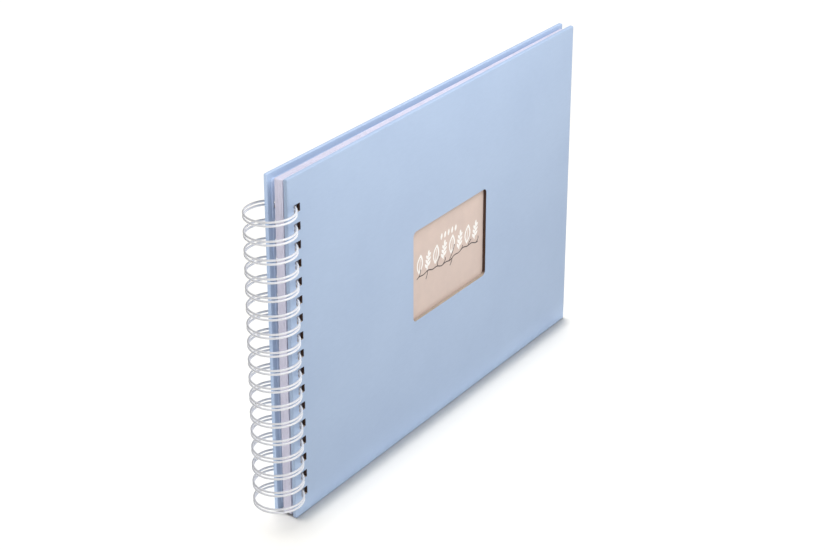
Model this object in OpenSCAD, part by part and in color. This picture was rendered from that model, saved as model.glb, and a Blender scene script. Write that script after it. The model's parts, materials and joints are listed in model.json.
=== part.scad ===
// Wire-bound scrapbook album, standing upright and closed.
// X runs from the spine to the fore-edge, -Y is the front and +Z is up.
// The origin is under the middle of the whole album, on the surface that it stands on.

/* [Covers] */
// Width of a cover, from its spine edge to its fore-edge
cover_w = 240; // [200:5:300]
// Height of a cover
cover_h = 170; // [165:1:200]
// Thickness of the grey board inside a cover
board_t = 1.7; // [1.2:0.1:1.8]
// Thickness of the covering paper, the lining and the window card
paper_t = 0.15; // [0.1:0.01:0.15]
// How far the covering paper is folded in behind the board
turn_in = 15; // [12:1:18]
// Border of folded paper that the lining leaves bare
lining_margin = 3; // [2:0.5:5]

/* [Closed album] */
// Thickness over both covers at the spine edge
spine_t = 12.8; // [12.8:0.1:13.8]
// Thickness over both covers at the fore-edge
fore_t = 8.7; // [8.7:0.1:9.9]

/* [Window] */
// Width of the window in the front cover
window_w = 64; // [40:1:80]
// Height of the window
window_h = 48; // [30:1:60]
// Distance from the spine edge to the window
window_x = 94.6; // [60:0.1:110]
// Distance from the bottom edge to the window
window_z = 60.2; // [40:0.1:70]
// Radius of the window's corners
window_r = 2.5; // [1:0.1:5]
// How far the card reaches past the window on each side
card_lap = 6; // [4:0.5:10]

/* [Leaves] */
// Thickness of one leaf
leaf_t = 0.16; // [0.1:0.01:0.16]
// How far the leaves stand back from the covers at the spine
leaf_inset_spine = 0.5; // [0.4:0.1:0.6]
// How far the leaves stand back at the fore-edge
leaf_inset_fore = 3; // [2:0.5:6]
// How far the leaves stand back at the bottom and the top
leaf_inset_z = 1.2; // [0.5:0.1:3]
// Front face of the first leaf at the spine, from the front of the album
block_front = 3.05; // [2.95:0.05:3.1]
// Distance from leaf to leaf at the spine
leaf_pitch_spine = 0.175; // [0.17:0.005:0.175]
// Distance from leaf to leaf at the fore-edge
leaf_pitch_fore = 0.17; // [0.165:0.005:0.17]

/* [Binding] */
// Number of twin loops, each in a punched hole of its own
loop_count = 17; // [5:1:17]
// Distance from loop to loop
loop_pitch = 8.94; // [7:0.01:8.94]
// Height of the lowest loop
loop_first_z = 11.4; // [8:0.1:12]
// Diameter of the coated wire
wire_d = 1; // [0.9:0.05:1.1]
// Radius of a loop, at the middle of the wire
loop_r = 11.4; // [11.3:0.05:11.5]
// Distance between the two wires of a loop
twin_gap = 1.8; // [1.6:0.1:1.9]
// Width of a punched hole
hole_w = 4.4; // [4.4:0.1:4.8]
// Height of a punched hole
hole_h = 4; // [4:0.1:4.4]
// Distance from a spine edge to the middle of its holes
hole_margin = 6.6; // [6.5:0.1:6.7]
// Distance from the spine edge of the covers to the axis that everything turns about
axis_offset = 4.1; // [4:0.1:4.2]

/* [Hidden] */
LEAVES = [for (i = [1 : 25]) str("leaf_", i < 10 ? "0" : "", i)];

$fn = 48;
cut = 1; // how far a cutting shape reaches past the face that it cuts
cover_t = board_t + 3 * paper_t;
board_back = paper_t + board_t;
wrap_back = board_back + paper_t;
wedge_angle = atan((spine_t - fore_t) / cover_w);
block_fore = cover_t + 0.1; // first leaf's front face at the fore-edge
leaf_w = cover_w - leaf_inset_spine - leaf_inset_fore;
leaf_h = cover_h - 2 * leaf_inset_z;

// The wire's joint lies in the gap between the last leaf and the back cover.
bar_d = wire_d + 0.05; // bars at the ends of the loops, a little thicker than the wire
bar_step = bar_d + 0.1;
leaf_steps = len(LEAVES) - 1;
last_back_spine = block_front + leaf_steps * leaf_pitch_spine + leaf_t;
last_back_fore = block_fore + leaf_steps * leaf_pitch_fore + leaf_t;
seam_x = hole_margin + leaf_inset_spine;
seam_front = last_back_spine - seam_x * (last_back_spine - last_back_fore) / leaf_w;
seam_back = spine_t - cover_t - seam_x * tan(wedge_angle);
seam_y = (seam_front + seam_back) / 2 - spine_t / 2;
tip_angle = asin((seam_y - bar_step / 2) / loop_r);
base_angle = asin((seam_y + bar_step / 2) / loop_r);

origin_x = (cover_w - axis_offset - loop_r - wire_d / 2) / 2;
origin_y = spine_t / 2;

paper_blue = [0.70, 0.78, 0.88];
board_grey = [0.55, 0.47, 0.41];
card_beige = [0.85, 0.78, 0.75];
leaf_white = [0.89, 0.88, 0.92];
wire_white = [0.95, 0.95, 0.95];

// Puts shapes drawn from the front bottom spine corner into the album's own frame.
module placed() translate([-origin_x, -origin_y, 0]) children();

// Puts a cover drawn outer face first, at y = 0, at the back of the album.
module at_back() translate([0, spine_t, 0]) rotate([0, 0, -wedge_angle]) mirror([0, 1, 0]) children();

// The row of punched holes, through anything up to depth deep.
module punch(depth)
    for (i = [0 : loop_count - 1])
        translate([hole_margin - hole_w / 2, -cut, loop_first_z + i * loop_pitch - hole_h / 2])
            cube([hole_w, depth + 2 * cut, hole_h]);

// The window's outline, grown by lap on every side, from y = from to y = to.
module window_block(lap, radius, from, to)
    translate([window_x - lap, to, window_z - lap])
        rotate([90, 0, 0])
            linear_extrude(to - from)
                rounded_rect(window_w + 2 * lap, window_h + 2 * lap, radius);

// A rectangle with round corners, drawn as a union so that its arcs stay true arcs.
module rounded_rect(w, h, r) {
    translate([r, 0]) square([w - 2 * r, h]);
    translate([0, r]) square([w, h - 2 * r]);
    for (x = [r, w - r], y = [r, h - r]) translate([x, y]) circle(r);
}

// A slab of a cover, inset by margin all round, from y = from to y = to.
module slab(margin, from, to)
    translate([margin, from, margin])
        cube([cover_w - 2 * margin, to - from, cover_h - 2 * margin]);

module board(window)
    difference() {
        slab(paper_t, paper_t, board_back);
        punch(cover_t);
        if (window) window_block(0, window_r, -cut, cover_t + cut);
    }

// One sheet over the outer face and all four edges, folded in behind the board.
module wrap(window)
    difference() {
        slab(0, 0, wrap_back);
        slab(paper_t, paper_t, board_back);
        slab(turn_in, board_back - cut / 2, wrap_back + cut);
        punch(cover_t);
        if (window) window_block(0, window_r, -cut, board_back);
    }

// A sheet over the folded paper, which fills the field between the folds.
module lining(window)
    difference() {
        union() {
            slab(lining_margin, wrap_back, cover_t);
            slab(turn_in, board_back, wrap_back);
        }
        punch(cover_t);
        if (window) window_block(card_lap, window_r, board_back - cut, wrap_back);
    }

// One loose sheet with its own row of holes. Leaf 1 lies next to the front cover.
module leaf(number) {
    at_spine = block_front + (number - 1) * leaf_pitch_spine;
    at_fore = block_fore + (number - 1) * leaf_pitch_fore;
    color(leaf_white)
        placed()
            translate([leaf_inset_spine, at_spine, 0])
                rotate([0, 0, -atan((at_spine - at_fore) / leaf_w)])
                    difference() {
                        translate([0, 0, leaf_inset_z]) cube([leaf_w, leaf_t, leaf_h]);
                        punch(leaf_t);
                    }
}

// A straight bar of wire along Z, on the circle of the loops.
module bar(angle, low, high)
    rotate([0, 0, angle])
        translate([loop_r, 0, low - bar_d / 2])
            cylinder(d = bar_d, h = high - low + bar_d);

// Two parallel rings of wire, open at the joint, closed by a short bar at their tips.
module twin_loop(z) {
    for (side = [-1, 1])
        translate([0, 0, z + side * twin_gap / 2])
            rotate([0, 0, base_angle])
                rotate_extrude(angle = 360 + tip_angle - base_angle)
                    translate([loop_r, 0]) circle(d = wire_d);
    bar(tip_angle, z - twin_gap / 2, z + twin_gap / 2);
}

module binding_wire()
    color(wire_white)
        placed()
            translate([-axis_offset, origin_y, 0]) {
                for (i = [0 : loop_count - 1])
                    twin_loop(loop_first_z + i * loop_pitch);
                for (i = [0 : loop_count - 2])
                    bar(base_angle, loop_first_z + i * loop_pitch + twin_gap / 2,
                        loop_first_z + (i + 1) * loop_pitch - twin_gap / 2);
            }

module front_wrap() color(paper_blue) placed() wrap(true);
module front_board() color(board_grey) placed() board(true);
module front_lining() color(paper_blue) placed() lining(true);
module window_card() color(card_beige) placed() window_block(card_lap, window_r, board_back, wrap_back);
module back_wrap() color(paper_blue) placed() at_back() wrap(false);
module back_board() color(board_grey) placed() at_back() board(false);
module back_lining() color(paper_blue) placed() at_back() lining(false);

front_wrap();
front_board();
window_card();
front_lining();
for (i = [1 : len(LEAVES)])
    leaf(i);
binding_wire();
back_lining();
back_board();
back_wrap();
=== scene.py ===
import json
import math
import random

import bmesh
import bpy
from mathutils import Matrix, Vector


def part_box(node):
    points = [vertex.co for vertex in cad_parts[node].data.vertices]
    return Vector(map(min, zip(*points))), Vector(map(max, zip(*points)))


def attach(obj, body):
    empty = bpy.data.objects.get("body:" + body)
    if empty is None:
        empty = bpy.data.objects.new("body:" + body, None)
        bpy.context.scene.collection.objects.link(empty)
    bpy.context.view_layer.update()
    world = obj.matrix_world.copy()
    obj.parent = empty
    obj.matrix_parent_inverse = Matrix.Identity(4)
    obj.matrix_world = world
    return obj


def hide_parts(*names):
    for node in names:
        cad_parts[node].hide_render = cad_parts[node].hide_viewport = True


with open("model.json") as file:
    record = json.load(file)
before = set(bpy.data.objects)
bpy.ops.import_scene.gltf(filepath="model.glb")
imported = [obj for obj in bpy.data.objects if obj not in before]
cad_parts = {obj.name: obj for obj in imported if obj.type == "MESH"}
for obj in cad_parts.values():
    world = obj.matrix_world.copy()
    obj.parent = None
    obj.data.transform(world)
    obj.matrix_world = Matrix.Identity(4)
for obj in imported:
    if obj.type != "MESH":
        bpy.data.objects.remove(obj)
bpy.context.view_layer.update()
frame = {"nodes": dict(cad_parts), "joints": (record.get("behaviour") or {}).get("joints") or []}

MM = 0.001
random.seed(24)

# ---------------------------------------------------------------- places and sizes, in millimetres
FRONT_LO, FRONT_HI = [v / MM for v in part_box("front_wrap")]
SPINE_X = FRONT_LO[0]            # spine edge of the front cover
FRONT_Y = FRONT_LO[1]            # outer face of the front cover
COVER_W = FRONT_HI[0] - FRONT_LO[0]
COVER_H = FRONT_HI[2] - FRONT_LO[2]
BACK_LO, BACK_HI = [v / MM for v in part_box("back_wrap")]
BACK_Y = BACK_HI[1]              # outer face of the back cover at the spine
CARD_LO, CARD_HI = [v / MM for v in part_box("window_card")]
LINING_LO, LINING_HI = [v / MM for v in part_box("front_lining")]
WIRE_LO, WIRE_HI = [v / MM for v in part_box("binding_wire")]

PAPER_T = CARD_HI[1] - CARD_LO[1]
COVER_T = LINING_HI[1] - FRONT_Y
TURN_IN = 15.0
LINING_MARGIN = LINING_LO[0] - SPINE_X
CARD_LAP = 6.0
WINDOW_R = 2.5
WINDOW = (CARD_LO[0] + CARD_LAP, CARD_LO[2] + CARD_LAP, CARD_HI[0] - CARD_LAP, CARD_HI[2] - CARD_LAP)

LOOPS = 17
WIRE_D = 1.0
TWIN_GAP = 1.8
SEAM_GAP = 0.15                  # open joint between the loops' tips and the links at their base
AXIS = Vector(v / MM for v in next(j for j in frame["joints"] if j["name"] == "front_cover_turn")["pos_m"])
LOOP_R = AXIS.x - WIRE_LO[0] - WIRE_D / 2
FIRST_Z = WIRE_LO[2] + TWIN_GAP / 2 + WIRE_D / 2
PITCH = (WIRE_HI[2] - WIRE_LO[2] - TWIN_GAP - WIRE_D) / (LOOPS - 1)
HOLE_W, HOLE_H = 4.4, 4.0
HOLE_MARGIN = 6.6
LEAF_T = 0.16
LEAVES = sorted(n for n in frame["nodes"] if n.startswith("leaf_"))

# The back cover leans towards the fore-edge: its outer face runs from BACK_Y to the far corner.
BACK_LEAN = math.asin((BACK_HI[1] - BACK_LO[1] - (COVER_T - PAPER_T)) / COVER_W)


# ---------------------------------------------------------------- camera
def make_camera():
    """Looks down on the front cover from beyond the spine."""
    data = bpy.data.cameras.new("camera")
    camera = bpy.data.objects.new("camera", data)
    bpy.context.collection.objects.link(camera)
    yaw, pitch = math.radians(55.322), math.radians(24.204)
    data.lens = 85.44
    data.sensor_width = 36
    data.shift_y = -0.1
    data.clip_end = 20
    camera.location = (-0.7058, -0.4821, 0.5055)
    aim = Vector((math.sin(yaw) * math.cos(pitch), math.cos(yaw) * math.cos(pitch), -math.sin(pitch)))
    camera.rotation_euler = aim.to_track_quat("-Z", "Y").to_euler()
    bpy.context.scene.camera = camera


make_camera()


# ---------------------------------------------------------------- materials
def new_material(name):
    material = bpy.data.materials.new(name)
    material.use_nodes = True
    nodes = material.node_tree.nodes
    return material, nodes, material.node_tree.links, nodes["Principled BSDF"]


def rgb(r, g, b):
    """An sRGB colour of 0 to 255 as the linear colour that a shader takes."""
    def linear(c):
        c /= 255
        return c / 12.92 if c <= 0.04045 else ((c + 0.055) / 1.055) ** 2.4
    return (linear(r), linear(g), linear(b), 1)


def noise(nodes, links, coordinates, scale, detail=4, roughness=0.55, stretch=None):
    """A noise texture on the given coordinates, which may be stretched first."""
    texture = nodes.new("ShaderNodeTexNoise")
    texture.inputs["Scale"].default_value = scale
    texture.inputs["Detail"].default_value = detail
    texture.inputs["Roughness"].default_value = roughness
    if stretch:
        mapping = nodes.new("ShaderNodeMapping")
        mapping.inputs["Scale"].default_value = stretch
        links.new(coordinates, mapping.inputs["Vector"])
        coordinates = mapping.outputs["Vector"]
    links.new(coordinates, texture.inputs["Vector"])
    return texture.outputs["Fac"]


def ramp(nodes, links, value, stops):
    """Colours at the given positions."""
    node = nodes.new("ShaderNodeValToRGB")
    elements = node.color_ramp.elements
    while len(elements) < len(stops):
        elements.new(0.5)
    for element, (place, colour) in zip(elements, stops):
        element.position = place
        element.color = colour
    links.new(value, node.inputs["Fac"])
    return node.outputs["Color"]


def blend_colours(nodes, links, mode, factor, a, b):
    node = nodes.new("ShaderNodeMix")
    node.data_type = "RGBA"
    node.blend_type = mode
    node.inputs["Factor"].default_value = factor
    links.new(a, node.inputs["A"])
    links.new(b, node.inputs["B"])
    return node.outputs["Result"]


def add_bump(nodes, links, shader, layers):
    """Bumps laid one over another: (height, strength, distance in metres) each."""
    normal = None
    for height, strength, distance in layers:
        bump = nodes.new("ShaderNodeBump")
        bump.inputs["Strength"].default_value = strength
        bump.inputs["Distance"].default_value = distance
        links.new(height, bump.inputs["Height"])
        if normal:
            links.new(normal, bump.inputs["Normal"])
        normal = bump.outputs["Normal"]
    links.new(normal, shader.inputs["Normal"])


def vary(nodes, links, value, low, high):
    """Spreads a value of about 0 to 1 between low and high."""
    node = nodes.new("ShaderNodeMapRange")
    node.inputs["To Min"].default_value = low
    node.inputs["To Max"].default_value = high
    links.new(value, node.inputs["Value"])
    return node.outputs["Result"]


def cover_paper(name, base, darker, satin):
    """Dyed covering paper: a faint long-fibre grain, cloudy tone and a fine tooth."""
    material, nodes, links, shader = new_material(name)
    place = nodes.new("ShaderNodeTexCoord").outputs["Object"]
    cloud = noise(nodes, links, place, 22, 3, 0.5)
    fibre = noise(nodes, links, place, 900, 5, 0.65, (0.25, 1, 1))
    tooth = noise(nodes, links, place, 2600, 3, 0.6)
    tone = ramp(nodes, links, cloud, [(0.3, darker), (0.72, base)])
    grain = ramp(nodes, links, fibre, [(0.3, (0.955, 0.96, 0.97, 1)), (0.7, (1, 1, 1, 1))])
    links.new(blend_colours(nodes, links, "MULTIPLY", 1.0, tone, grain), shader.inputs["Base Color"])
    links.new(vary(nodes, links, fibre, satin - 0.05, satin + 0.07), shader.inputs["Roughness"])
    shader.inputs["Specular IOR Level"].default_value = 0.35
    add_bump(nodes, links, shader, [(fibre, 0.25, 0.00004), (tooth, 0.2, 0.00002)])
    return material


def leaf_paper(name, tint):
    """Uncoated white page: faint fibres and a soft mottle, tinted a little from leaf to leaf."""
    material, nodes, links, shader = new_material(name)
    place = nodes.new("ShaderNodeTexCoord").outputs["Object"]
    mottle = noise(nodes, links, place, 60, 4, 0.6)
    fibre = noise(nodes, links, place, 1500, 5, 0.7, (1, 1, 0.3))
    base = rgb(224 + tint, 222 + tint, 237 + tint)
    shade = rgb(217 + tint, 215 + tint, 231 + tint)
    tone = ramp(nodes, links, mottle, [(0.3, shade), (0.7, base)])
    grain = ramp(nodes, links, fibre, [(0.3, (0.97, 0.97, 0.975, 1)), (0.65, (1, 1, 1, 1))])
    links.new(blend_colours(nodes, links, "MULTIPLY", 1.0, tone, grain), shader.inputs["Base Color"])
    links.new(vary(nodes, links, mottle, 0.78, 0.9), shader.inputs["Roughness"])
    shader.inputs["Specular IOR Level"].default_value = 0.25
    add_bump(nodes, links, shader, [(fibre, 0.3, 0.00004)])
    return material


def grey_board():
    """Raw recycled board, cut, with painted light: dark brown painted shade down its upright edges and paler
    painted light on the faces that look up, such as the sills.
    """
    material, nodes, links, shader = new_material("grey_board")
    coordinates = nodes.new("ShaderNodeTexCoord")
    place = coordinates.outputs["Object"]
    layers = noise(nodes, links, place, 260, 5, 0.7, (0.5, 9, 0.5))
    flecks = noise(nodes, links, place, 1900, 3, 0.8)
    # Painted shade and light: upright faces get a dark brown painted shade, and faces that look up get a pale
    # painted light. The two are mixed by how far the surface normal points up.
    painted_shade_tones = [(0.25, rgb(58, 42, 36)), (0.55, rgb(84, 64, 56)), (0.8, rgb(112, 88, 76))]
    painted_light_tones = [(0.25, rgb(168, 154, 140)), (0.6, rgb(188, 174, 160)), (0.8, rgb(200, 187, 174))]
    painted_shade_upright = ramp(nodes, links, layers, painted_shade_tones)
    painted_light_sill = ramp(nodes, links, layers, painted_light_tones)
    parts = nodes.new("ShaderNodeSeparateXYZ")
    links.new(coordinates.outputs["Normal"], parts.inputs["Vector"])
    painted_light_mask = nodes.new("ShaderNodeMapRange")
    painted_light_mask.inputs["From Min"].default_value = 0.35
    painted_light_mask.inputs["From Max"].default_value = 0.95
    links.new(parts.outputs["Z"], painted_light_mask.inputs["Value"])
    tone = blend_colours(nodes, links, "MIX", 0.0, painted_shade_upright, painted_light_sill)
    links.new(painted_light_mask.outputs["Result"], tone.node.inputs["Factor"])
    dots = ramp(nodes, links, flecks, [(0.32, (0.45, 0.42, 0.4, 1)), (0.48, (1, 1, 1, 1))])
    links.new(blend_colours(nodes, links, "MULTIPLY", 0.6, tone, dots), shader.inputs["Base Color"])
    links.new(vary(nodes, links, flecks, 0.85, 0.97), shader.inputs["Roughness"])
    shader.inputs["Specular IOR Level"].default_value = 0.15
    add_bump(nodes, links, shader, [(layers, 0.6, 0.0002), (flecks, 0.4, 0.00008)])
    return material


def card_paper():
    """Beige art card with a soft mottle."""
    material, nodes, links, shader = new_material("printed_card")
    place = nodes.new("ShaderNodeTexCoord").outputs["Object"]
    mottle = noise(nodes, links, place, 120, 5, 0.6)
    fine = noise(nodes, links, place, 2200, 3, 0.7)
    tone = ramp(nodes, links, mottle, [(0.3, rgb(214, 195, 186)), (0.7, rgb(221, 201, 191))])
    grain = ramp(nodes, links, fine, [(0.3, (0.965, 0.965, 0.965, 1)), (0.7, (1, 1, 1, 1))])
    links.new(blend_colours(nodes, links, "MULTIPLY", 1.0, tone, grain), shader.inputs["Base Color"])
    links.new(vary(nodes, links, fine, 0.62, 0.76), shader.inputs["Roughness"])
    shader.inputs["Specular IOR Level"].default_value = 0.3
    add_bump(nodes, links, shader, [(fine, 0.25, 0.00003)])
    return material


def ink(name, colour, roughness):
    """Printed ink, a little uneven where the card shows through."""
    material, nodes, links, shader = new_material(name)
    place = nodes.new("ShaderNodeTexCoord").outputs["Object"]
    patch = noise(nodes, links, place, 1400, 4, 0.7)
    worn = tuple(0.9 * c + 0.04 for c in colour[:3]) + (1,)
    links.new(ramp(nodes, links, patch, [(0.35, worn), (0.55, colour)]), shader.inputs["Base Color"])
    links.new(vary(nodes, links, patch, roughness - 0.06, roughness + 0.06), shader.inputs["Roughness"])
    return material


def coated_wire():
    """White nylon-coated steel: glossy, with a faint unevenness in the coat."""
    material, nodes, links, shader = new_material("coated_wire")
    place = nodes.new("ShaderNodeTexCoord").outputs["Object"]
    drift = noise(nodes, links, place, 180, 3, 0.5)
    fine = noise(nodes, links, place, 1600, 2, 0.5)
    links.new(
        ramp(nodes, links, drift, [(0.3, rgb(232, 233, 238)), (0.7, rgb(240, 241, 246))]),
        shader.inputs["Base Color"],
    )
    links.new(vary(nodes, links, fine, 0.2, 0.34), shader.inputs["Roughness"])
    shader.inputs["Coat Weight"].default_value = 0.35
    shader.inputs["Coat Roughness"].default_value = 0.12
    add_bump(nodes, links, shader, [(drift, 0.2, 0.00006)])
    return material


def floor_material():
    """A plain pale studio floor."""
    material, nodes, links, shader = new_material("floor")
    shader.inputs["Base Color"].default_value = rgb(252, 250, 245)
    shader.inputs["Roughness"].default_value = 0.9
    shader.inputs["Specular IOR Level"].default_value = 0.1
    return material


BLUE = cover_paper("cover_paper", rgb(174, 193, 220), rgb(169, 188, 216), 0.52)
LINING = cover_paper("lining_paper", rgb(194, 210, 234), rgb(188, 204, 229), 0.68)
BOARD = grey_board()
CARD = card_paper()
WIRE = coated_wire()
LEAF_PAPERS = [leaf_paper(f"leaf_paper_{i}", tint) for i, tint in enumerate((0, -4, 3, -2))]


# ---------------------------------------------------------------- mesh helpers
SHARP = math.radians(50)    # faces that meet at more than this keep a hard edge


def finish_mesh(name, bm, material, body, place=None):
    """Makes a piece from a bmesh in millimetres, put in place by a matrix."""
    if place:
        bmesh.ops.transform(bm, matrix=place, verts=bm.verts)
    bmesh.ops.recalc_face_normals(bm, faces=bm.faces)
    bmesh.ops.scale(bm, vec=(MM, MM, MM), verts=bm.verts)
    mesh = bpy.data.meshes.new(name)
    bm.to_mesh(mesh)
    bm.free()
    mesh.materials.append(material)
    mesh.shade_smooth()
    mesh.set_sharp_from_angle(angle=SHARP)
    piece = bpy.data.objects.new(name, mesh)
    bpy.context.collection.objects.link(piece)
    even = piece.modifiers.new("even_shading", "WEIGHTED_NORMAL")
    even.keep_sharp = True
    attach(piece, body)
    return piece


SMALLEST_R = 0.02


def rounded_loop(bm, rect, radius, grow, y, steps=6):
    """A closed ring of vertices round a rectangle grown by grow, with round corners."""
    x0, z0, x1, z1 = rect[0] - grow, rect[1] - grow, rect[2] + grow, rect[3] + grow
    r = max(radius + grow, SMALLEST_R)
    corners = ((x1 - r, z1 - r, 0), (x0 + r, z1 - r, 90), (x0 + r, z0 + r, 180), (x1 - r, z0 + r, 270))
    ring = []
    for cx, cz, start in corners:
        for k in range(steps + 1):
            t = math.radians(start + 90 * k / steps)
            ring.append(bm.verts.new((cx + r * math.cos(t), y, cz + r * math.sin(t))))
    return ring


def join_loops(bm, rings):
    """Walls of quads from each ring to the next."""
    for a, b in zip(rings, rings[1:]):
        for k in range(len(a)):
            n = (k + 1) % len(a)
            bm.faces.new((a[k], a[n], b[n], b[k]))


def fill_between(bm, rings):
    """A flat face inside the first ring and outside the others."""
    edges = []
    for ring in rings:
        for k in range(len(ring)):
            pair = (ring[k], ring[(k + 1) % len(ring)])
            edges.append(bm.edges.get(pair) or bm.edges.new(pair))
    bmesh.ops.triangle_fill(bm, use_beauty=True, use_dissolve=False, edges=edges)


def opening(bm, rect, radius, stations):
    """The wall of a hole, through the given (grow, y) stations. Returns its first and last ring."""
    rings = [rounded_loop(bm, rect, radius, grow, y) for grow, y in stations]
    join_loops(bm, rings)
    return rings[0], rings[-1]


def quarter(radius, from_inset, y, towards):
    """(grow, y) stations round an outer edge, from the flat face at y to the edge's side wall."""
    steps = 4
    return [
        (-(from_inset + radius * (1 - math.sin(t))), y + towards * radius * (1 - math.cos(t)))
        for t in (math.pi / 2 * k / steps for k in range(steps + 1))
    ]


def hole_rects(bottom=0.0):
    """The punched holes, in a sheet's own millimetres, for a sheet that starts at height bottom."""
    left = HOLE_MARGIN - HOLE_W / 2
    low = FIRST_Z - FRONT_LO[2] - HOLE_H / 2 - bottom
    return [(left, low + i * PITCH, left + HOLE_W, low + i * PITCH + HOLE_H) for i in range(LOOPS)]


# ---------------------------------------------------------------- covers
# A cover is drawn outer face first, at y = 0, from its front bottom spine corner.
COVER = (0, 0, COVER_W, COVER_H)
COVER_CORNER_R = 0.9
EDGE_R, INNER_EDGE_R = 0.55, 0.4      # outer and inner side of the sheet, at the outer face
FOLD_R, INNER_FOLD_R = 0.3, 0.25      # the same at the fold behind the board
BOARD_GAP = 0.35                      # the board stops this far short of the sheet's side walls
WRAP_BACK = COVER_T - PAPER_T
BOARD_BACK = WRAP_BACK - PAPER_T
PUNCH_R = 0.25
LIP = 0.06                            # how far the paper is pressed in round a cut
WINDOW_RECT = (WINDOW[0] - SPINE_X, WINDOW[1], WINDOW[2] - SPINE_X, WINDOW[3])

AT_FRONT = Matrix.Translation((SPINE_X, FRONT_Y, FRONT_LO[2]))
AT_BACK = (
    Matrix.Translation((SPINE_X, BACK_Y, BACK_LO[2]))
    @ Matrix.Rotation(-BACK_LEAN, 4, "Z")
    @ Matrix.Diagonal((1, -1, 1, 1))
)


def wrap(name, node, body, place, window):
    """One sheet over the outer face and the four edges, folded in behind the board."""
    bm = bmesh.new()
    outer = quarter(EDGE_R, 0, 0, 1) + quarter(FOLD_R, 0, WRAP_BACK, -1)[::-1]
    inner = quarter(INNER_FOLD_R, PAPER_T, BOARD_BACK, -1) + quarter(INNER_EDGE_R, PAPER_T, PAPER_T, 1)[::-1]
    outer_rings = [rounded_loop(bm, COVER, COVER_CORNER_R, grow, y) for grow, y in outer]
    inner_rings = [rounded_loop(bm, COVER, COVER_CORNER_R, grow, y) for grow, y in inner]
    join_loops(bm, outer_rings)
    join_loops(bm, inner_rings)
    fold = [rounded_loop(bm, COVER, COVER_CORNER_R, -TURN_IN, y) for y in (WRAP_BACK, BOARD_BACK)]
    join_loops(bm, fold)
    face, back = [], []
    for rect in hole_rects():
        face.append(opening(bm, rect, PUNCH_R, [(LIP, 0), (LIP / 4, LIP), (0, PAPER_T)]))
        back.append(opening(bm, rect, PUNCH_R, [(LIP, WRAP_BACK), (0, BOARD_BACK)]))
    if window:
        face.append(opening(bm, WINDOW_RECT, WINDOW_R, [(LIP, 0), (LIP / 4, LIP), (0, PAPER_T)]))
    fill_between(bm, [outer_rings[0]] + [first for first, last in face])
    fill_between(bm, [inner_rings[-1]] + [last for first, last in face])
    fill_between(bm, [outer_rings[-1], fold[0]] + [first for first, last in back])
    fill_between(bm, [inner_rings[0], fold[1]] + [last for first, last in back])
    piece = finish_mesh(name, bm, BLUE, body, place=place)
    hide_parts(node)


def lining(name, node, body, place):
    """The pasted sheet inside a cover. It dips where the folded paper under it ends."""
    bm = bmesh.new()
    soft = 0.05
    corner_r = 3.9
    sheet = [(-LINING_MARGIN, WRAP_BACK), (-LINING_MARGIN, COVER_T - soft), (-LINING_MARGIN - soft, COVER_T)]
    rings = [rounded_loop(bm, COVER, corner_r, grow, y) for grow, y in sheet]
    join_loops(bm, rings)
    dip = [(-TURN_IN + 0.5, COVER_T), (-TURN_IN, COVER_T - 0.03), (-TURN_IN - 0.8, COVER_T - 0.09),
           (-TURN_IN - 1.6, COVER_T - 0.11)]
    step = [rounded_loop(bm, COVER, TURN_IN + 1, grow, y) for grow, y in dip]
    join_loops(bm, step)
    holes = [opening(bm, rect, PUNCH_R, [(LIP, COVER_T), (0, WRAP_BACK)]) for rect in hole_rects()]
    fill_between(bm, [rings[-1], step[0]] + [first for first, last in holes])
    fill_between(bm, [step[-1]])
    fill_between(bm, [rings[0]] + [last for first, last in holes])
    piece = finish_mesh(name, bm, LINING, body, place=place)
    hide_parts(node)


def board(name, node, body, place, window):
    """The grey board inside the wrap, seen where the window and the holes cut through it."""
    bm = bmesh.new()
    inset = PAPER_T + BOARD_GAP
    sides = [(-inset, PAPER_T), (-inset, BOARD_BACK)]
    rings = [rounded_loop(bm, COVER, COVER_CORNER_R, grow, y) for grow, y in sides]
    join_loops(bm, rings)
    cuts = [opening(bm, rect, PUNCH_R, [(0, PAPER_T), (0, BOARD_BACK)]) for rect in hole_rects()]
    if window:
        cuts.append(opening(bm, WINDOW_RECT, WINDOW_R, [(0, PAPER_T), (0, BOARD_BACK)]))
    fill_between(bm, [rings[0]] + [first for first, last in cuts])
    fill_between(bm, [rings[1]] + [last for first, last in cuts])
    piece = finish_mesh(name, bm, BOARD, body, place=place)
    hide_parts(node)


def make_covers():
    wrap("front_cover_paper", "front_wrap", "front_cover", AT_FRONT, True)
    wrap("back_cover_paper", "back_wrap", "back_cover", AT_BACK, False)
    board("front_cover_board", "front_board", "front_cover", AT_FRONT, True)
    board("back_cover_board", "back_board", "back_cover", AT_BACK, False)
    lining("front_cover_lining", "front_lining", "front_cover", AT_FRONT)
    lining("back_cover_lining", "back_lining", "back_cover", AT_BACK)


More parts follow.
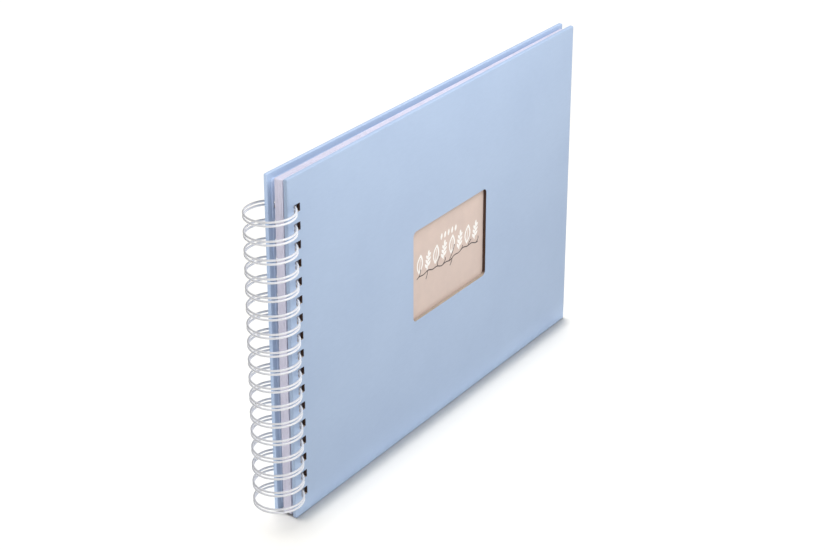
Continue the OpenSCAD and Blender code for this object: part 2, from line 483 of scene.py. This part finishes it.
# ---------------------------------------------------------------- leaves
def leaf(node, number):
    """One loose page. It hangs on the loops, its fore-edge sagging almost to the table."""
    lo, hi = [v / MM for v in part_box(node)]
    lean = math.atan((hi[1] - lo[1] - LEAF_T) / (hi[0] - lo[0]))
    width, height = hi[0] - lo[0], hi[2] - lo[2]
    sag = math.radians(random.uniform(0.23, 0.26))
    slip_x, slip_z = random.uniform(-0.08, 0.1), random.uniform(-0.06, 0.08)
    trim = random.uniform(0.0, 0.25)
    rect = (slip_x, slip_z, width + slip_x - trim, height + slip_z)
    soft, corner_r = 0.03, 0.4
    edge = [(-soft, 0), (0, soft), (0, LEAF_T - soft), (-soft, LEAF_T)]
    bm = bmesh.new()
    rings = [rounded_loop(bm, rect, corner_r, grow, y, steps=3) for grow, y in edge]
    join_loops(bm, rings)
    holes = [
        opening(bm, hole, PUNCH_R, [(0, 0), (0, LEAF_T)])
        for hole in hole_rects(bottom=lo[2] - FRONT_LO[2])
    ]
    fill_between(bm, [rings[0]] + [first for first, last in holes])
    fill_between(bm, [rings[-1]] + [last for first, last in holes])
    to_middle = Matrix.Translation((0, 0, height / 2))
    from_middle = Matrix.Translation((0, 0, -height / 2))
    hang = to_middle @ Matrix.Rotation(sag, 4, "Y") @ from_middle
    place = Matrix.Translation((lo[0], hi[1] - LEAF_T, lo[2])) @ Matrix.Rotation(-lean, 4, "Z") @ hang
    material = LEAF_PAPERS[number % len(LEAF_PAPERS)]
    piece = finish_mesh(f"page_{number + 1:02d}", bm, material, node, place=place)
    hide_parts(node)


# ---------------------------------------------------------------- binding wire
def wire_path():
    """The wire laid flat: (distance round the loops, height), up one side of each loop and down the other."""
    seam = seam_angles()
    base, tip = seam[1] * LOOP_R, (2 * math.pi + seam[0]) * LOOP_R
    corners = []
    for i in range(LOOPS):
        z = FIRST_Z + i * PITCH
        low, high = z - TWIN_GAP / 2, z + TWIN_GAP / 2
        corners += [Vector((base, low)), Vector((tip, low)), Vector((tip, high)), Vector((base, high))]
    return corners


def seam_angles():
    """Angles of the loops' tips and of the links at their base, between the last leaf and the back cover."""
    lo, hi = [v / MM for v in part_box(LEAVES[-1])]
    leaf_lean = (hi[1] - lo[1] - LEAF_T) / (hi[0] - lo[0])
    seam_x = HOLE_MARGIN + lo[0] - SPINE_X
    front = hi[1] - seam_x * leaf_lean
    back = BACK_Y - COVER_T - seam_x * math.tan(BACK_LEAN)
    middle = (front + back) / 2
    step = (WIRE_D + SEAM_GAP) / 2
    return math.asin((middle - step) / LOOP_R), math.asin((middle + step) / LOOP_R)


def bent(corners):
    """Rounds the tips fully and the links a little, then adds points so that the arcs are smooth."""
    tip_r, link_r, arc_steps = TWIN_GAP / 2 - 0.001, 1.2, 6
    path = [corners[0]]
    for k in range(1, len(corners) - 1):
        radius = tip_r if k % 4 in (1, 2) else link_r
        before, at, after = corners[k - 1], corners[k], corners[k + 1]
        u, v = (before - at).normalized(), (after - at).normalized()
        centre = at + (u + v) * radius
        for n in range(arc_steps + 1):
            t = math.pi / 2 * n / arc_steps
            path.append(centre - v * radius * math.cos(t) - u * radius * math.sin(t))
    path.append(corners[-1])
    dense = [path[0]]
    longest = LOOP_R * math.radians(3)
    for a, b in zip(path, path[1:]):
        steps = max(1, math.ceil((b - a).length / longest))
        dense += [a.lerp(b, n / steps) for n in range(1, steps + 1)]
    return dense


def make_wire():
    """A round wire swept along its path, which is rolled onto the circle of the loops."""
    sides = 14
    flat = bent(wire_path())
    points = [
        Vector((AXIS.x + LOOP_R * math.cos(s / LOOP_R), AXIS.y + LOOP_R * math.sin(s / LOOP_R), z))
        for s, z in flat
    ]
    outward = [Vector((math.cos(s / LOOP_R), math.sin(s / LOOP_R), 0)) for s, z in flat]
    bm = bmesh.new()
    rings = []
    for k, (point, out) in enumerate(zip(points, outward)):
        ahead = points[min(k + 1, len(points) - 1)] - points[max(k - 1, 0)]
        side = ahead.normalized().cross(out).normalized()
        rings.append([
            bm.verts.new(point + (out * math.cos(t) + side * math.sin(t)) * WIRE_D / 2)
            for t in (2 * math.pi * n / sides for n in range(sides))
        ])
    join_loops(bm, rings)
    bm.faces.new(rings[0])
    bm.faces.new(rings[-1])
    piece = finish_mesh("binding_wire_coated", bm, WIRE, "binding_wire")
    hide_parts("binding_wire")


# ---------------------------------------------------------------- window card and its print
def slab_of(bm, outline, y0, y1):
    """A closed prism over an outline of (x, z) points."""
    rings = [[bm.verts.new((x, y, z)) for x, z in outline] for y in (y0, y1)]
    join_loops(bm, rings)
    for ring in rings:
        bm.faces.new(ring)


def stroke(bm, points, widths, y0, y1):
    """A flat ribbon of ink along points, as wide at each point as widths says."""
    left, right = [], []
    for k, point in enumerate(points):
        ahead = (points[min(k + 1, len(points) - 1)] - points[max(k - 1, 0)]).normalized()
        across = Vector((-ahead.y, ahead.x)) * widths[k] / 2
        left.append(point + across)
        right.append(point - across)
    rows = [[bm.verts.new((p.x, y, p.y)) for p in line] for line, y in
            ((left, y0), (right, y0), (right, y1), (left, y1))]
    for k in range(len(points) - 1):
        for n in range(4):
            a, b = rows[n], rows[(n + 1) % 4]
            bm.faces.new((a[k], a[k + 1], b[k + 1], b[k]))
    for k in (0, -1):
        bm.faces.new([row[k] for row in rows])


def petal(x, z, length, width, lean):
    """A pointed leaf outline standing on (x, z)."""
    steps = 14
    outline = []
    for side in (1, -1):
        for k in range(steps):
            t = k / steps if side == 1 else 1 - k / steps
            half = side * width / 2 * math.sin(math.pi * t) ** 0.8 if 0 < t < 1 else 0
            along = t * length
            outline.append((x + half * math.cos(lean) + along * math.sin(lean),
                            z - half * math.sin(lean) + along * math.cos(lean)))
    return outline


def leaf_outline(bm, foot, length, width, lean, line, y0, y1):
    """The pointed ring of a leaf drawn as a line."""
    steps = 16
    up = Vector((math.sin(lean), math.cos(lean)))
    across = Vector((up.y, -up.x))
    outer, inner = [], []
    for side in (1, -1):
        for k in range(steps):
            t = k / steps if side == 1 else 1 - k / steps
            bulge = math.sin(math.pi * t) ** 0.85 if 0 < t < 1 else 0
            outer.append(foot + up * length * t + across * side * bulge * width / 2)
            s = line / length + t * (1 - 2.4 * line / length)
            inner.append(foot + up * length * s + across * side * bulge * (width / 2 - line * 0.8))
    rings = [[bm.verts.new((p.x, y, p.y)) for p in line_points] for line_points, y in
             ((outer, y0), (outer, y1), (inner, y1), (inner, y0))]
    join_loops(bm, rings + [rings[0]])


def make_card():
    """The beige card behind the window."""
    rect = (CARD_LO[0], CARD_LO[2], CARD_HI[0], CARD_HI[2])
    soft = 0.03
    bm = bmesh.new()
    rings = [rounded_loop(bm, rect, WINDOW_R, grow, y) for grow, y in
             ((-soft, CARD_LO[1]), (0, CARD_LO[1] + soft), (0, CARD_HI[1]))]
    join_loops(bm, rings)
    fill_between(bm, [rings[0]])
    fill_between(bm, [rings[-1]])
    card = finish_mesh("window_card_sheet", bm, CARD, "front_cover")
    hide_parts("window_card")


PRINT_X, PRINT_Z = WINDOW[0], WINDOW[1]    # the print is placed from the window's lower spine corner
PRINT_Y = CARD_LO[1]
FILM = 0.02                                # thickness of a layer of ink
LAYER = 0.001                              # how far each shape lies over the one before
GARLAND_LEAN = math.radians(9)


def outline_leaf(bm, foot, up):
    """A large leaf drawn as a line, with a midrib."""
    leaf_outline(bm, foot, 10.2, 5.2, GARLAND_LEAN, 1.1, PRINT_Y - FILM, PRINT_Y)
    stroke(bm, [foot, foot + up * 7.8], [0.6, 0.35], PRINT_Y - FILM - 2 * LAYER, PRINT_Y)


def filled_sprig(bm, foot, up):
    """A twig with three pairs of blades and one at its tip."""
    stroke(bm, [foot, foot + up * 7.6], [0.8, 0.6], PRINT_Y - FILM, PRINT_Y)
    spread = math.radians(42)
    for n, reach in enumerate((1.2, 3.6, 6.0)):
        for side in (-1, 1):
            at = foot + up * (reach + 0.5 * side)
            blade = petal(at.x, at.y, 3.5 - 0.3 * n, 1.5, GARLAND_LEAN + side * spread)
            slab_of(bm, blade, PRINT_Y - FILM - (3 + n) * LAYER, PRINT_Y)
    tip = foot + up * 7.0
    slab_of(bm, petal(tip.x, tip.y, 3.3, 1.6, GARLAND_LEAN), PRINT_Y - FILM - 7 * LAYER, PRINT_Y)


def print_garland():
    """A white row of outlined leaves and filled sprigs in turn, under a short row of petals."""
    bm = bmesh.new()
    up = Vector((math.sin(GARLAND_LEAN), math.cos(GARLAND_LEAN)))
    for k in range(8):
        foot = Vector((PRINT_X + 7.3 + 6.95 * k, PRINT_Z + 22.7 - 0.25 * (k % 2)))
        shape = filled_sprig if k % 2 else outline_leaf
        shape(bm, foot, up)
    for k in range(5):
        blade = petal(PRINT_X + 26.4 + 3.1 * k, PRINT_Z + 33.6, 3.6, 1.6, math.radians(10))
        slab_of(bm, blade, PRINT_Y - FILM, PRINT_Y)
    white = ink("white_ink", rgb(252, 249, 246), 0.5)
    finish_mesh("card_garland", bm, white, "front_cover")


def vine_point(t):
    """A point of the vine's stem, t running from 0 to 1 along it."""
    turn = 2 * math.pi * t
    return Vector((PRINT_X + 5.4 + 54 * t,
                   PRINT_Z + 20.6 + 0.9 * math.sin(1.6 * turn) + 0.35 * math.sin(7 * turn)))


def print_vine():
    """A dark waving stem under the garland, with bare twigs."""
    # place along the stem, rise, reach and curl of each twig
    twigs = ((0.03, 3.6, 1.6, 0.5), (0.17, -4.0, -1.4, 0.4), (0.33, 4.6, 2.2, -0.8), (0.41, 3.2, 2.6, 0.9),
             (0.52, 7.2, 4.6, 0.6), (0.57, -3.4, -2.0, 0.3), (0.70, 2.4, 2.2, 0.7), (0.84, 2.6, 2.4, -0.6),
             (0.965, 3.0, 2.0, 0.9))
    bm = bmesh.new()
    stem = [vine_point(k / 90) for k in range(91)]
    stroke(bm, stem, [0.55] * len(stem), PRINT_Y - 2 * FILM, PRINT_Y - FILM)
    for k, (place, rise, reach, curl) in enumerate(twigs):
        foot = vine_point(place)
        twig = [foot + Vector((reach * t + curl * math.sin(math.pi * t), rise * t))
                for t in (n / 12 for n in range(13))]
        stroke(bm, twig, [0.5] * len(twig), PRINT_Y - 2 * FILM - (k + 1) * LAYER, PRINT_Y - FILM)
    dark = ink("dark_ink", rgb(70, 58, 58), 0.55)
    finish_mesh("card_vine", bm, dark, "front_cover")


# ---------------------------------------------------------------- studio
def group(name, pieces):
    """A collection that only says which pieces a light reaches, or which of them cast its shadow."""
    collection = bpy.data.collections.new(name)
    for piece in pieces:
        collection.objects.link(piece)
    return collection


def add_light(name, data, lit, blockers=None):
    light = bpy.data.objects.new(name, data)
    bpy.context.collection.objects.link(light)
    light.light_linking.receiver_collection = lit
    if blockers:
        light.light_linking.blocker_collection = blockers
    return light


def soft_sun(name, direction, brightness, angle, lit, blockers=None):
    """A distant soft light from the given direction that lights the pieces of one collection."""
    data = bpy.data.lights.new(name, "SUN")
    data.energy = brightness * math.pi
    data.angle = math.radians(angle)
    light = add_light(name, data, lit, blockers)
    light.rotation_euler = Vector(direction).to_track_quat("Z", "Y").to_euler()


def soft_box(name, place, aim, size, watts, lit, blockers):
    """A studio light of the given length and height at a place in metres, turned towards aim."""
    data = bpy.data.lights.new(name, "AREA")
    data.energy = watts
    data.shape = "RECTANGLE"
    data.size, data.size_y = size
    light = add_light(name, data, lit, blockers)
    light.visible_camera = False
    light.location = place
    light.rotation_euler = (Vector(place) - Vector(aim)).to_track_quat("Z", "Y").to_euler()


def make_studio():
    """A pale floor, a faint white surround, and lights that each reach only some of the pieces."""
    mesh = bpy.data.meshes.new("floor")
    half = 6.0
    corners = [(-half, -half, 0), (half, -half, 0), (half, half, 0), (-half, half, 0)]
    mesh.from_pydata(corners, [], [(0, 1, 2, 3)])
    mesh.materials.append(floor_material())
    floor = bpy.data.objects.new("floor", mesh)
    pieces = [piece for piece in bpy.context.scene.objects if piece.type == "MESH"]
    album = group("album", pieces)
    sheets = group("sheets", [piece for piece in pieces if "wire" not in piece.name])
    covers = group("covers", [piece for piece in pieces if "cover" in piece.name])
    pages = group("pages", [piece for piece in pieces if piece.name.startswith("page_")])
    wire = group("wire", [piece for piece in pieces if "wire" in piece.name])
    back = group("back", [piece for piece in pieces if piece.name.startswith("back_cover")])
    front = group("front", [piece for piece in pieces if piece.name.startswith("front_cover")])
    bpy.context.collection.objects.link(floor)
    ground = group("ground", [floor])
    world = bpy.data.worlds.new("studio")
    bpy.context.scene.world = world
    world.use_nodes = True
    background = world.node_tree.nodes["Background"]
    background.inputs["Color"].default_value = (1, 1, 1, 1)
    background.inputs["Strength"].default_value = 0.2
    # The two narrow floor lights pass the wire, so that its loops cast only a soft shadow.
    soft_sun("floor_near", (0.0, 0.028, 1), 0.45, 2.4, ground, sheets)
    soft_sun("floor_wide", (0.09, 0.07, 1), 0.30, 8, ground, sheets)
    soft_sun("floor_soft", (0.14, 0.08, 1), 0.17, 34, ground)
    # The low strip makes up for the light that the shaded floor doesn't throw on the cover's foot.
    soft_box("front_high", (0.03, -0.24, 0.47), (0.0, 0.0, 0.17), (0.3, 0.3), 1.6, album, sheets)
    soft_box("front_low", (0.008, -0.0139, 0.001), (0.008, 0.0, 0.001), (0.26, 0.001), 0.0031, front, sheets)
    soft_sun("above", (0.0, 0.05, 1), 0.18, 30, covers)
    soft_sun("left", (-0.9, 0.0, 0.4), 0.2, 50, sheets)
    soft_sun("back", (0.2, 0.7, 0.6), 0.30, 70, sheets)
    soft_sun("spine_pages", (-0.9, -0.5, 0.1), 0.28, 40, pages)
    soft_sun("spine_back", (-0.8, -0.5, 0.2), 0.45, 40, back)
    soft_sun("spine_wire", (-0.5, -0.8, 0.4), 0.1, 40, wire)
    bpy.context.scene.view_settings.view_transform = "Standard"


make_covers()
for number, node in enumerate(LEAVES):
    leaf(node, number)
make_wire()
make_card()
print_garland()
print_vine()
make_studio()
